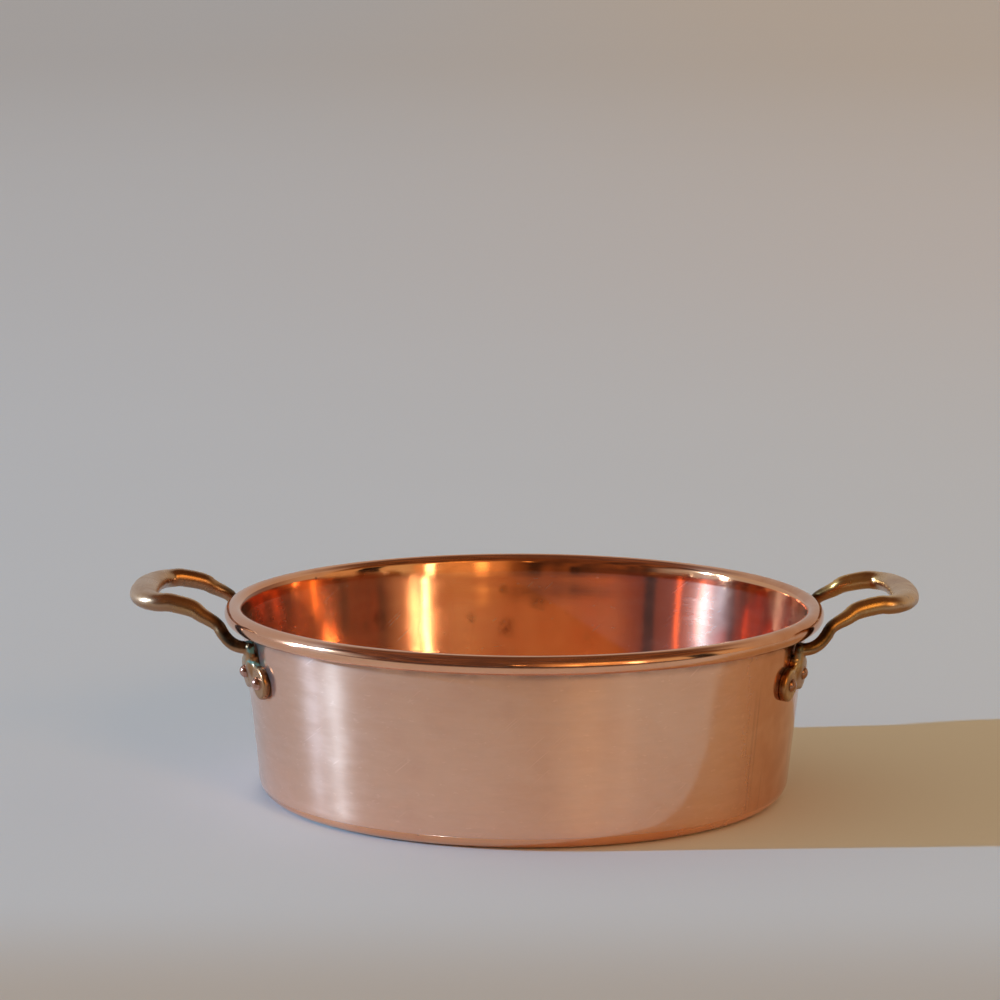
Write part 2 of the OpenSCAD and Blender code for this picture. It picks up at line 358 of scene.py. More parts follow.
# Feet: two round lobes with a dip between them below, and fillets up to the neck
foot_strips = 24
edge_rounds = 5
low_steps = 20
top_steps = 14
dip_steps = 14
fillet_steps = 12
dip_r = 12
neck_fillet = 3.5
neck_inset = 0.9
neck_overlap = 1
plate_neck = neck_w / 2 - neck_inset
lobe_x = rivet_gap / 2
fillet_x = plate_neck + neck_fillet
fillet_z = math.sqrt((lobe_r + neck_fillet) ** 2 - (fillet_x - lobe_x) ** 2)
fillet_end = math.atan2(fillet_z, fillet_x - lobe_x)
dip_z = -math.sqrt((lobe_r + dip_r) ** 2 - lobe_x ** 2)
dip_end = math.atan2(-dip_z, lobe_x)
# A face is one of the plate's sides where its normal rises or falls less than this
side_rise = 0.5


def foot_outline():
    """Closed outline of a foot: left lobe, dip, right lobe, then over the neck and back."""
    top = fillet_z + neck_overlap
    low = (arc(-lobe_x, 0, lobe_r, math.pi, 2 * math.pi - dip_end, low_steps)
           + arc(0, dip_z, dip_r, math.pi - dip_end, dip_end, dip_steps, 1)
           + arc(lobe_x, 0, lobe_r, dip_end - math.pi, fillet_end, low_steps + top_steps, 1))
    high = (arc(fillet_x, fillet_z, neck_fillet, math.pi + fillet_end, math.pi, fillet_steps, 1)
            + [(plate_neck, top), (-plate_neck, top)]
            + arc(-fillet_x, fillet_z, neck_fillet, 0, -fillet_end, fillet_steps)
            + arc(-lobe_x, 0, lobe_r, math.pi - fillet_end, math.pi, top_steps, 1))
    return low + high[:-1]


def add_foot(work, back):
    """Foot plate: a flat outline in strips, made thick, rounded outside and bent to the wall."""
    plate = bmesh.new()
    plate.faces.new([plate.verts.new((x, y, foot_fit)) for x, y in foot_outline()])
    reach = lobe_x + lobe_r
    for k in range(1, foot_strips):
        bmesh.ops.bisect_plane(plate, geom=plate.verts[:] + plate.edges[:] + plate.faces[:],
                               dist=merge_gap, plane_no=(1, 0, 0),
                               plane_co=(reach * (2 * k / foot_strips - 1), 0, 0))
    raised = bmesh.ops.extrude_face_region(plate, geom=plate.faces[:])["geom"]
    bmesh.ops.translate(plate, vec=(0, 0, foot_t - foot_fit),
                        verts=[v for v in raised if isinstance(v, bmesh.types.BMVert)])
    bmesh.ops.recalc_face_normals(plate, faces=plate.faces)
    edge = [e for e in plate.edges if min(v.co.z for v in e.verts) > foot_t - edge_r
            and min(abs(f.normal.z) for f in e.link_faces) < side_rise]
    bmesh.ops.bevel(plate, geom=edge, offset=edge_r, offset_type="OFFSET", segments=edge_rounds,
                    profile=0.5, affect="EDGES", material=-1)
    for v in plate.verts:
        x, y, z = on_wall(v.co[:2], v.co.z)
        v.co = (x, -y if back else y, z)
    bent = mesh_of(plate, "foot")
    work.from_mesh(bent)
    bpy.data.meshes.remove(bent)


# Cast skin, in millimetres: how fine it is, and its lumps and dents out from the true feet
fine_voxel = 0.5
soft_rounds = 8
lump_size = 14
lump_depth = 0.07
dent_size = 5
dent_depth = 0.03
uneven_r = (186, 200)
left_shift = 40


def cast_skin(name, source, voxel):
    """Fuses the overlapping shells into one skin and softens the joins, as a casting has them."""
    rough = bpy.data.objects.new(name + "_rough", source)
    bpy.context.scene.collection.objects.link(rough)
    remesh = rough.modifiers.new("fuse", "REMESH")
    remesh.mode = "VOXEL"
    remesh.voxel_size = voxel
    soften = rough.modifiers.new("soften", "SMOOTH")
    soften.factor = 0.5
    soften.iterations = soft_rounds
    shown = rough.evaluated_get(bpy.context.evaluated_depsgraph_get())
    mesh = bpy.data.meshes.new_from_object(shown)
    bpy.data.objects.remove(rough)
    return mesh


def handle_mesh(left):
    """A whole handle in metres, a little uneven as a filed casting is, but true at its feet."""
    work = bmesh.new()
    add_bars(work)
    add_foot(work, False)
    add_foot(work, True)
    bmesh.ops.recalc_face_normals(work, faces=work.faces)
    voxel = fine_voxel
    mesh = cast_skin("handle", mesh_of(work, "handle_shells"), voxel)
    shift = left_shift if left else 0
    outward = [v.normal.copy() for v in mesh.vertices]
    for v, normal in zip(mesh.vertices, outward):
        x, y, z = v.co
        lump = noise.noise(Vector((x / lump_size + shift, y / lump_size, z / lump_size)))
        dent = noise.noise(Vector((x / dent_size, y / dent_size + shift, z / dent_size)))
        free = smooth_step(*uneven_r, math.hypot(x, y))
        v.co -= normal * free * (lump_depth * (1 + lump) + dent_depth * (1 + dent))
    mesh.transform(Matrix.Scale(mm, 4))
    if left:
        mesh.transform(Matrix.Rotation(math.pi, 4, "Z"))
    mesh.update()
    return mesh


# Materials
class Graph:
    """Adds nodes to one material or world and links them."""

    def __init__(self, owner):
        owner.use_nodes = True
        self.tree = owner.node_tree
        self.tree.nodes.clear()

    def feed(self, socket, value):
        """Links a socket to another one, or sets it to a plain value."""
        if isinstance(value, bpy.types.NodeSocket):
            self.tree.links.new(value, socket)
        else:
            socket.default_value = value

    def node(self, kind, settings=None, **sockets):
        """A new node with its settings, whose named sockets are linked or set."""
        made = self.tree.nodes.new("ShaderNode" + kind)
        for key, value in (settings or {}).items():
            setattr(made, key, value)
        for key, value in sockets.items():
            self.feed(made.inputs[key.replace("_", " ")], value)
        return made

    def in_order(self, kind, settings, values):
        """A new node whose first sockets are linked or set in their order."""
        made = self.node(kind, settings)
        for socket, value in zip(made.inputs, values):
            self.feed(socket, value)
        return made

    def math(self, operation, *values):
        """One operation on plain numbers."""
        return self.in_order("Math", {"operation": operation}, values).outputs[0]

    def product(self, *values):
        """Several numbers multiplied."""
        return functools.reduce(lambda a, b: self.math("MULTIPLY", a, b), values)

    def any_of(self, *masks):
        """The strongest of several masks."""
        return functools.reduce(lambda a, b: self.math("MAXIMUM", a, b), masks)

    def graded(self, mask, by, start=1.0):
        """A number that changes by so much where a mask goes from 0 to 1."""
        return self.math("MULTIPLY_ADD", mask, by, start)

    def vector(self, operation, *values):
        """One operation on places or directions."""
        made = self.in_order("VectorMath", {"operation": operation}, values)
        plain = operation in ("LENGTH", "DISTANCE", "DOT_PRODUCT")
        return made.outputs["Value" if plain else "Vector"]

    def between(self, value, low, high, to_low=0.0, to_high=1.0):
        """A soft change from one number to another while a value goes from low to high."""
        softly = {"interpolation_type": "SMOOTHSTEP"}
        return self.in_order("MapRange", softly, (value, low, high, to_low, to_high)).outputs[0]

    def mix(self, share, a, b):
        """Colour a with a share of colour b."""
        made = self.node("Mix", {"data_type": "RGBA"})
        for index, item in ((0, share), (6, a), (7, b)):
            self.feed(made.inputs[index], item)
        return made.outputs[2]

    def noise(self, place, scale, detail=3.0, rough=0.6):
        """A cloudy pattern of numbers round one half."""
        made = self.node("TexNoise", Vector=place, Scale=scale, Detail=detail, Roughness=rough)
        return made.outputs["Fac"]

    def place(self):
        """The place on the piece itself, in metres."""
        return self.node("TexCoord").outputs["Object"]

    def surface(self, shader):
        """Makes a shader the material's surface."""
        self.node("OutputMaterial", Surface=shader.outputs[0])


def new_material(name):
    """An empty material and its graph."""
    material = bpy.data.materials.new(name)
    return material, Graph(material)


def around(g, place):
    """How far right a place lies, how high it is and how far from the pan's axis, in metres."""
    side, depth, height = g.node("SeparateXYZ", Vector=place).outputs
    flat = g.node("CombineXYZ", X=side, Y=depth).outputs[0]
    return side, height, g.vector("LENGTH", flat)


def wall_at(g, height, start):
    """The leaning wall's radius at a height, in metres. Its radius at the table is in millimetres."""
    return g.math("MULTIPLY_ADD", height, math.tan(wall_lean), start * mm)


def round_place(g, place, turns, rise):
    """Place on a turned surface, for a pattern that is drawn out round the axis or up the wall."""
    side, depth, height = g.node("SeparateXYZ", Vector=place).outputs
    unit = g.vector("NORMALIZE", g.node("CombineXYZ", X=side, Y=depth).outputs[0])
    round_side, round_depth, _ = g.node("SeparateXYZ", Vector=unit).outputs
    made = g.node("CombineXYZ", X=g.math("MULTIPLY", round_side, turns),
                  Y=g.math("MULTIPLY", round_depth, turns), Z=g.math("MULTIPLY", height, rise))
    return made.outputs[0]


# Scale of the pattern that makes a spot's edge ragged, for a radius of one millimetre
spot_edge = 700.0


def spot(g, place, x, y, z, radius, soft=0.6):
    """1 near a point given in millimetres, with a ragged soft edge."""
    uneven = g.noise(place, spot_edge / radius, 4.0, 0.65)
    ragged = g.math("MULTIPLY", uneven, 2 * soft * radius * mm)
    far = g.math("ADD", g.vector("DISTANCE", place, (x * mm, y * mm, z * mm)), ragged)
    return g.between(far, radius * (1 + soft) * mm, radius * 0.5 * mm)


def spots(g, place, points):
    """1 near any of several points."""
    return g.any_of(*[spot(g, place, *point) for point in points])


# Copper tones
out_light = (0.97, 0.52, 0.31, 1)
out_deep = (0.95, 0.47, 0.26, 1)
# Inside tones: the copper's own, made deeper than outside to paint in the light bounced round the
# inside
in_light = (0.97, 0.47, 0.23, 1)
in_deep = (0.93, 0.39, 0.17, 1)
blotch_tone = (0.74, 0.34, 0.2, 1)
line_tone = (0.66, 0.34, 0.22, 1)
# Painted shade: darker on the left, most of all inside where the window's light does not reach, near
# black inside at the far left
left_shade_tone = (0.68, 0.26, 0.12, 1)
far_left_shade_tone = (0.26, 0.055, 0.012, 1)
right_tone = (0.72, 0.29, 0.12, 1)
stain_tone = (0.36, 0.1, 0.03, 1)
speck_tone = (0.12, 0.05, 0.03, 1)
drip_tone = (0.3, 0.13, 0.08, 1)
# Painted shade for a blotchy band under the roll
under_roll_shade_tone = (0.3, 0.12, 0.06, 1)
haze_tone = (0.88, 0.82, 0.78, 1)
# Patterns: how often they change round the axis and in a metre of height, or in any metre
fine_lines = (3.0, 900.0)
broad_lines = (5.0, 130.0)
fleck_lines = (30.0, 420.0)
drip_lines = (75.0, 7.0)
cloud_scale = 14.0
blotch_scale = 55.0
mottle_scale = 210.0
# Where the tones change along X and up Z, in metres
wall_from_base = (0.006, 0.02)
right_side = (0.11, 0.165)
left_shade_side = (-0.13, -0.17)
far_left_shade_side = (-0.148, -0.172)
streak_from = (0.08, 0.11)
streak_to = (0.14, 0.12)
drip_heights = (0.1, 0.07)
under_roll_shade_from = (0.1045, 0.1095)
under_roll_shade_to = (0.1125, 0.1112)
roll_from_wall = (0.1105, 0.112)
# Marks: x, y, z and radius in millimetres, and how soft the edge is
stain_points = ((-35, 170, 80, 6.0), (-11, 173, 73, 10.0), (11, 175, 90, 9.0),
                (-13, 175, 99, 5.0), (30, 174, 84, 3.0), (-96, 147, 84, 9.0))
speck_points = ((-137, 113, 117, 1.6, 0.3), (-123, 128, 113.5, 1.0, 0.3), (-42, -163, 7, 2.2),
                (26, -177, 108, 1.2), (49, -170, 105, 1.0), (-26, -173, 97, 0.8))
# Scratches: their tilt in radians, and how long and how narrow they are in metres
scratch_tilt = -0.75
scratch_size = (1 / 30, 1 / 30, 1 / 1100)
# How much more the wall leans inside in its shading, as a slope, and up to what height in metres
shade_lean = 0.0107
shade_lean_top = 0.117


def pan_marks(g):
    """Masks of the pan's sides and the patterns that polishing and use have left on it."""
    place = g.place()
    side, height, radius = around(g, place)
    middle = wall_at(g, height, wall_r(0) - sheet / 2)
    m = SimpleNamespace(place=place, side=side, height=height)
    m.inside = g.product(g.math("LESS_THAN", radius, middle),
                         g.math("GREATER_THAN", height, sheet / 2 * mm))
    m.outside = g.math("SUBTRACT", 1.0, m.inside)
    m.left = g.between(side, *left_shade_side)
    m.right = g.between(side, *right_side)
    m.right_out = g.product(m.right, m.outside)
    m.on_wall = g.between(height, *wall_from_base)
    m.lines = g.noise(round_place(g, place, *fine_lines), 1.0, 5.0, 0.7)
    m.broad_lines = g.noise(round_place(g, place, *broad_lines), 1.0)
    m.flecks = g.noise(round_place(g, place, *fleck_lines), 1.0)
    m.clouds = g.noise(place, cloud_scale, 4.0)
    m.blotches = g.noise(place, blotch_scale)
    m.dull = g.math("ADD", g.between(m.clouds, 0.3, 0.75, 0.0, 0.6),
                    g.between(m.broad_lines, 0.35, 0.75, 0.0, 0.4))
    return m


def copper_tone(g, m):
    """Colour of the copper: cloudy, blotched and lined, deeper on the right, and with painted shade
    that darkens the left, inside most of all and near black at the far left.
    """
    # Deeper tones inside paint in the light bounced round the inside
    inner = g.mix(g.between(m.clouds, 0.4, 0.64), in_light, in_deep)
    tone = g.mix(g.between(m.clouds, 0.35, 0.68), out_light, out_deep)
    tone = g.mix(m.inside, tone, inner)
    tone = g.mix(g.product(g.between(m.blotches, 0.55, 0.75), 0.25), tone, blotch_tone)
    tone = g.mix(g.product(g.between(m.lines, 0.5, 0.75), m.on_wall, 0.16), tone, line_tone)
    # Painted shade: the left side darker, inside most of all, and near black inside at the far left
    tone = g.mix(g.product(m.left, g.graded(m.inside, 0.35, 0.4)), tone, left_shade_tone)
    far_left_shade = g.between(m.side, *far_left_shade_side)
    tone = g.mix(g.product(far_left_shade, m.inside, 0.85), tone, far_left_shade_tone)
    uneven = g.between(m.blotches, 0.3, 0.6, 0.6, 0.95)
    return g.mix(g.product(m.right, m.outside, uneven), tone, right_tone)


def used_tone(g, m, tone):
    """The same with stains inside, specks, drips on the right and painted shade in a blotchy band
    under the roll.
    """
    mottle = g.between(g.noise(m.place, mottle_scale, 3.0, 0.65), 0.35, 0.65)
    stains = g.product(spots(g, m.place, stain_points), m.inside, g.graded(mottle, 0.55, 0.35))
    tone = g.mix(stains, tone, stain_tone)
    tone = g.mix(g.product(spots(g, m.place, speck_points), 0.75), tone, speck_tone)
    drips = g.between(g.noise(round_place(g, m.place, *drip_lines), 1.0, 1.0), 0.62, 0.74)
    low = g.between(m.height, *drip_heights)
    tone = g.mix(g.product(drips, m.right, m.outside, low, 0.4), tone, drip_tone)
    # Painted shade: a blotchy dark band on the outside under the roll
    under = g.product(g.between(m.height, *under_roll_shade_from), g.between(m.height, *under_roll_shade_to),
                      m.outside)
    uneven = g.between(m.blotches, 0.35, 0.6, 0.25, 0.7)
    return g.mix(g.product(under, uneven), tone, under_roll_shade_tone)


def copper_normal(g, m):
    """Which way the copper faces: leaning a little more inside, with fine lines round the wall."""
    drop = g.math("SUBTRACT", shade_lean_top, g.math("MINIMUM", m.height, shade_lean_top))
    leaning = g.node("Bump", Strength=1.0, Distance=1.0,
                     Height=g.product(drop, m.inside, shade_lean))
    relief = g.product(g.math("ADD", m.lines, m.broad_lines), m.on_wall)
    lined = g.node("Bump", Strength=0.05, Distance=0.0002, Height=relief,
                   Normal=leaning.outputs[0])
    return lined.outputs[0]


def haze_share(g, m):
    """How much of the copper is hazy: more where it is dull, flecked or scratched."""
    tilted = g.node("Mapping", {"vector_type": "TEXTURE"}, Vector=m.place,
                    Rotation=(0.0, scratch_tilt, 0.0), Scale=scratch_size)
    threads = g.noise(tilted.outputs[0], 1.0, 1.0, 0.5)
    scratches = g.product(g.between(threads, 0.7, 0.78), g.between(m.blotches, 0.42, 0.6))
    marks = g.math("ADD", g.between(m.flecks, 0.62, 0.72, 0.0, 0.06), g.product(scratches, 0.09))
    share = g.math("ADD", g.between(m.dull, 0.0, 1.0, 0.11, 0.21), marks)
    streak = g.product(m.inside, g.between(m.side, *streak_from), g.between(m.side, *streak_to))
    on_roll = g.between(m.height, *roll_from_wall)
    return g.product(g.graded(m.outside, 0.18, share), g.graded(m.right, -0.5),
                     g.graded(m.right_out, -0.45), g.graded(streak, 0.6),
                     g.graded(on_roll, -0.86))


def copper_material():
    """Polished copper: a clear mirror with a share of haze that is brushed round the pan."""
    material, g = new_material("copper")
    m = pan_marks(g)
    tone = used_tone(g, m, copper_tone(g, m))
    normal = copper_normal(g, m)
    mirror = g.node("BsdfPrincipled", Base_Color=tone, Metallic=1.0, Normal=normal,
                    Roughness=g.graded(m.outside, 0.03, g.between(m.dull, 0.0, 1.0, 0.06, 0.13)))
    tangent = g.node("Tangent", {"direction_type": "RADIAL", "axis": "Z"})
    pale = g.mix(g.graded(m.right_out, -0.3, 0.55), tone, haze_tone)
    brushed = g.node("BsdfPrincipled", Base_Color=pale, Metallic=0.6, Anisotropic=0.95,
                     Anisotropic_Rotation=0.25, Tangent=tangent.outputs[0], Normal=normal,
                     Roughness=g.between(m.dull, 0.0, 1.0, 0.3, 0.37))
    shaders = (haze_share(g, m), mirror.outputs[0], brushed.outputs[0])
    g.surface(g.in_order("MixShader", {}, shaders))
    return material


# Brass tones
brass_right = (0.70, 0.41, 0.15, 1)
brass_left = (0.64, 0.38, 0.2, 1)
brass_brown = (0.5, 0.24, 0.08, 1)
held_tone = (0.78, 0.57, 0.41, 1)
pit_tone = (0.3, 0.15, 0.07, 1)
# Painted highlight: golden glints on the arms' bends
golden_tone = (1.0, 0.63, 0.22, 1)
# Painted shade on the left far arm's bend
painted_shade_bend_tone = (0.26, 0.11, 0.04, 1)
soot_tone = (0.03, 0.018, 0.01, 1)
# Grime with painted shade where the feet meet the wall
grime_and_shade_tone = (0.07, 0.05, 0.03, 1)
# Painted shade on faces that turn downwards
underside_shade_tone = (0.34, 0.17, 0.09, 1)
verdigris_tone = (0.17, 0.4, 0.34, 1)
# Painted golden glints on bends of the arms, and painted shade on one bend: x, y, z and radius in
# millimetres
golden_bends = ((220, -44, 118, 24.0), (-208, -44, 118, 20.0), (210, 44, 118, 24.0))
painted_shade_bend = (-212, 44, 118, 32.0)
# Patterns: how often they change in a metre
brass_cloud_scale = 55.0
pit_scale = 260.0
grain_scale = 900.0
# Where right gives way to left along X, in metres
left_from_right = (0.05, -0.05)
# Where the marks of use and the painted shade at the feet lie, as radius, height and distance from
# the wall in metres
held_radius = (0.222, 0.238)
soot_radius = (0.205, 0.196)
soot_height = (0.098, 0.105)
crust_radius = (0.1852, 0.1832)
crust_from = (0.092, 0.0945)
crust_to = (0.112, 0.108)
grime_and_shade_off_wall = (0.0034, 0.0016)


def cast_marks(g):
    """Where on a handle a place lies, and the patterns that casting and use have left there."""
    place = g.place()
    m = SimpleNamespace(place=place)
    m.side, m.height, m.radius = around(g, place)
    m.left = g.between(m.side, *left_from_right)
    m.facing = g.node("SeparateXYZ", Vector=g.node("NewGeometry").outputs["Normal"]).outputs[2]
    m.clouds = g.noise(place, brass_cloud_scale, 4.0)
    m.fine = g.noise(place, pit_scale, 3.0, 0.65)
    m.golden = spots(g, place, golden_bends)
    return m


def brass_tone(g, m):
    """Colour of the clean brass: brown in clouds, pale where it is held, with painted golden glints
    on the bends and painted shade on one bend.
    """
    tone = g.mix(m.left, brass_right, brass_left)
    tone = g.mix(g.between(m.clouds, 0.4, 0.66), tone, brass_brown)
    held = g.product(g.between(m.radius, *held_radius), g.between(m.fine, 0.3, 0.6, 0.5, 1.0), 0.6)
    tone = g.mix(held, tone, held_tone)
    tone = g.mix(g.product(g.between(m.fine, 0.56, 0.72), 0.45), tone, pit_tone)
    # Painted highlights: golden glints on three bends
    tone = g.mix(g.product(m.golden, 0.85), tone, golden_tone)
    # Painted shade: the left far arm's bend made darker
    return g.mix(g.product(spot(g, m.place, *painted_shade_bend), 0.85), tone, painted_shade_bend_tone)


def brass_soot(g, m):
    """1 where soot lies on the bends over the rim."""
    return g.product(g.between(m.radius, *soot_radius), g.between(m.height, *soot_height),
                     g.between(m.facing, -0.5, 0.1), g.between(m.clouds, 0.35, 0.6, 0.75, 1.0))


def brass_grime_and_shade(g, m):
    """Nearly 1 where the feet's edges meet the wall: grime with painted shade in the gap."""
    off_wall = g.math("SUBTRACT", m.radius, wall_at(g, m.height, wall_r(0)))
    return g.product(g.between(off_wall, *grime_and_shade_off_wall), g.between(m.fine, 0.3, 0.55), 0.9)


def brass_crust(g, m):
    """How thick the green crust is behind the necks, more of it on the left handle."""
    return g.product(g.between(m.radius, *crust_radius), g.between(m.height, *crust_from),
                     g.between(m.height, *crust_to), g.between(m.fine, 0.47, 0.58),
                     g.graded(m.left, 0.6, 0.3))


def brass_material():
    """Cast brass of the handles, sooty in the bends, grimy with painted shade where the feet meet the
    wall, with painted shade on the undersides and green at the necks.
    """
    material, g = new_material("handle_brass")
    m = cast_marks(g)
    soot = brass_soot(g, m)
    crust = brass_crust(g, m)
    tone = g.mix(soot, brass_tone(g, m), soot_tone)
    # Grime with painted shade where the feet's edges meet the wall
    tone = g.mix(brass_grime_and_shade(g, m), tone, grime_and_shade_tone)
    # Painted shade: faces that turn downwards are darker
    tone = g.mix(g.between(m.facing, 0.25, -0.45, 0.0, 0.75), tone, underside_shade_tone)
    tone = g.mix(crust, tone, verdigris_tone)
    rough = g.any_of(g.between(m.clouds, 0.3, 0.75, 0.25, 0.38), g.product(soot, 0.42),
                     g.product(crust, 0.8))
    grain = g.noise(m.place, grain_scale)
    relief = g.math("ADD", g.product(grain, 0.4), m.fine)
    bump = g.node("Bump", Strength=0.12, Distance=0.0004, Height=relief)
    g.surface(g.node("BsdfPrincipled", Base_Color=tone, Metallic=g.graded(crust, -0.9),
                     Roughness=g.graded(m.golden, -0.07, rough), Normal=bump.outputs[0]))
    return material


# Rivets and wire
rivet_pink = (0.74, 0.46, 0.38, 1)
rivet_brown = (0.42, 0.2, 0.14, 1)
rivet_red = (0.4, 0.18, 0.08, 1)
rivet_scale = 300.0
wire_dark = (0.33, 0.33, 0.34, 1)
wire_light = (0.5, 0.5, 0.5, 1)
wire_lines = (2.0, 1500.0)


def rivet_material():
    """Pink copper of the rivets, hammered and worn, browner on the right handle."""
    material, g = new_material("rivet_copper")
    place = g.place()
    clouds = g.noise(place, rivet_scale)
    side = g.node("SeparateXYZ", Vector=place).outputs[0]
    tone = g.mix(g.between(clouds, 0.3, 0.7), rivet_pink, rivet_brown)
    tone = g.mix(g.between(side, -0.05, 0.05, 0.0, 0.7), tone, rivet_red)
    bump = g.node("Bump", Strength=0.1, Distance=0.0003, Height=clouds)
    g.surface(g.node("BsdfPrincipled", Base_Color=tone, Metallic=1.0, Roughness=0.19,
                     Normal=bump.outputs[0]))
    return material


def wire_material():
    """Drawn grey wire, closed up inside the rolled rim."""
    material, g = new_material("wire")
    tone = g.mix(g.noise(round_place(g, g.place(), *wire_lines), 1.0), wire_dark, wire_light)
    g.surface(g.node("BsdfPrincipled", Base_Color=tone, Metallic=1.0, Roughness=0.4))
    return material


# Paper tones: cool on the left and warm on the right, which is painted light, and warmer and darker
# in front and far off; and where they change along X and Y, in metres
paper_left = (0.75, 0.78, 0.82, 1)
paper_right = (0.78, 0.76, 0.73, 1)
paper_left_light = (0.78, 0.81, 0.85, 1)
paper_right_light = (0.81, 0.79, 0.76, 1)
paper_near = (0.68, 0.61, 0.54, 1)
paper_back_left = (0.74, 0.74, 0.75, 1)
paper_back_right = (0.80, 0.72, 0.66, 1)
paper_far_left = (0.65, 0.62, 0.60, 1)
paper_far_right = (0.74, 0.62, 0.51, 1)
left_to_right = (-0.9, 0.9)
far_left_to_right = (-1.6, 1.6)
near_depth = (-0.27, -0.5)
back_depth = (0.4, 4.0)
far_depth = (2.0, 12.0)
paper_scale = 1.5


def paper_material():
    """Matte paper, cool on the left and warmer on the right as painted light, and warmer in front and
    far off.
    """
    material, g = new_material("floor")
    place = g.place()
    across, depth, _ = g.node("SeparateXYZ", Vector=place).outputs
    # Painted light: cool on the left, warm on the right
    side = g.between(across, *left_to_right)
    clouds = g.noise(place, paper_scale, 2.0, 0.5)
    tone = g.mix(clouds, g.mix(side, paper_left, paper_right),
                 g.mix(side, paper_left_light, paper_right_light))
    tone = g.mix(g.between(depth, *near_depth), tone, paper_near)
    back = g.mix(side, paper_back_left, paper_back_right)
    tone = g.mix(g.between(depth, *back_depth), tone, back)
    far = g.mix(g.between(across, *far_left_to_right), paper_far_left, paper_far_right)
    tone = g.mix(g.between(depth, *far_depth), tone, far)
    g.surface(g.node("BsdfPrincipled", Base_Color=tone, Roughness=0.75, Specular_IOR_Level=0.0))
    return material


def dress(piece, material):
    """Gives a piece one material."""
    piece.data.materials.clear()
    piece.data.materials.append(material)


# Stage: sizes in metres
floor_size = 60
floor_z = -0.0002
room_radius = 6
front_place = (0, -2.72, 0.0006)
front_size = (8, 4.56)
card_distance = 4
# Tones of the world and of what the metal mirrors
world_light = (0.43, 0.325, 0.205, 1)
world_backdrop = (0.42, 0.41, 0.40, 1)
room_dark = (0.06, 0.028, 0.014, 1)
room_brown = (0.2, 0.085, 0.035, 1)
lamplit = (0.74, 0.42, 0.18, 1)
plaster = (0.55, 0.42, 0.25, 1)
room_black = (0.015, 0.01, 0.008, 1)
back_paper_left = (0.44, 0.45, 0.47, 1)
back_paper_right = (0.47, 0.41, 0.34, 1)
left_paper = (0.42, 0.46, 0.52, 1)
ground_near = (0.36, 0.33, 0.32, 1)
ground_dark = (0.06, 0.035, 0.025, 1)
ground_depth = (-0.62, -0.44)
patch_scale = (6.0, 6.0, 9.0)


def flat_sheet(name, place, material):
    """A flat stage sheet, one metre wide before its place is applied."""
    work = bmesh.new()
    bmesh.ops.create_grid(work, x_segments=1, y_segments=1, size=0.5, matrix=place)
    piece = new_object(name, mesh_of(work, name))
    dress(piece, material)
    return piece


def add_floor():
    """The paper on which the pan stands, far and wide."""
    place = Matrix.Translation((0, 0, floor_z)) @ Matrix.Diagonal((floor_size, floor_size, 1, 1))
    flat_sheet("floor", place, paper_material())


def add_world():
    """Warm light from all round, and a grey in its place for the camera and polished things."""
    world = bpy.data.worlds.new("room")
    bpy.context.scene.world = world
    g = Graph(world)
    path = g.node("LightPath")
    seen = g.any_of(path.outputs["Is Camera Ray"], path.outputs["Is Glossy Ray"],
                    path.outputs["Is Transmission Ray"])
    light = g.node("Background", Color=g.mix(seen, world_light, world_backdrop), Strength=1.0)
    g.node("OutputWorld", Surface=light.outputs[0])


def only_reflected(piece):
    """Lets a stage piece show in polished things alone and give no other light or shade."""
    piece.visible_camera = False
    piece.visible_diffuse = False
    piece.visible_shadow = False
    piece.visible_transmission = False
    piece.visible_volume_scatter = False


def glow(name, build):
    """A material that shines by itself, with the colour that build makes."""
    material, g = new_material(name)
    shine = g.node("Emission", Strength=1.0)
    g.feed(shine.inputs["Color"], build(g))
    g.surface(shine)
    return material


def card(name, azimuth, elevation, wide, high, color, strength):
    """A bright card that stands a few metres from the pan and faces it."""
    place = (Matrix.Rotation(math.radians(azimuth - 90), 4, "Z")
             @ Matrix.Rotation(math.radians(elevation), 4, "X")
             @ Matrix.Translation((0, card_distance, 0))
             @ Matrix.Rotation(math.pi / 2, 4, "X")
             @ Matrix.Diagonal((wide, high, 1, 1)))
    bright = tuple(c * strength for c in color) + (1,)
    only_reflected(flat_sheet(name, place, glow(name, lambda g: bright)))


def towards(g, flat_way, azimuth, wide, soft):
    """1 where a level direction lies within so many degrees of an azimuth."""
    a = math.radians(azimuth)
    along = g.vector("DOT_PRODUCT", flat_way, (math.cos(a), math.sin(a), 0))
    return g.between(along, math.cos(math.radians(wide + soft)), math.cos(math.radians(wide)))


def dark_shapes(g, flat_way, rise):
    """Dark shapes round the room: a tall one on the right and three low ones in front."""
    tall = towards(g, flat_way, 340, 5, 1.5)
    narrow = g.product(towards(g, flat_way, 265, 2.4, 0.4), g.between(rise, 0.14, 0.13))
    lower = g.product(towards(g, flat_way, 248, 2, 0.4), g.between(rise, 0.11, 0.1))
    broad = g.product(towards(g, flat_way, 236, 12, 4), g.between(rise, 0.1, 0.08), 0.7)
    return g.product(g.any_of(tall, narrow, lower, broad), g.between(rise, 0.5, 0.45))


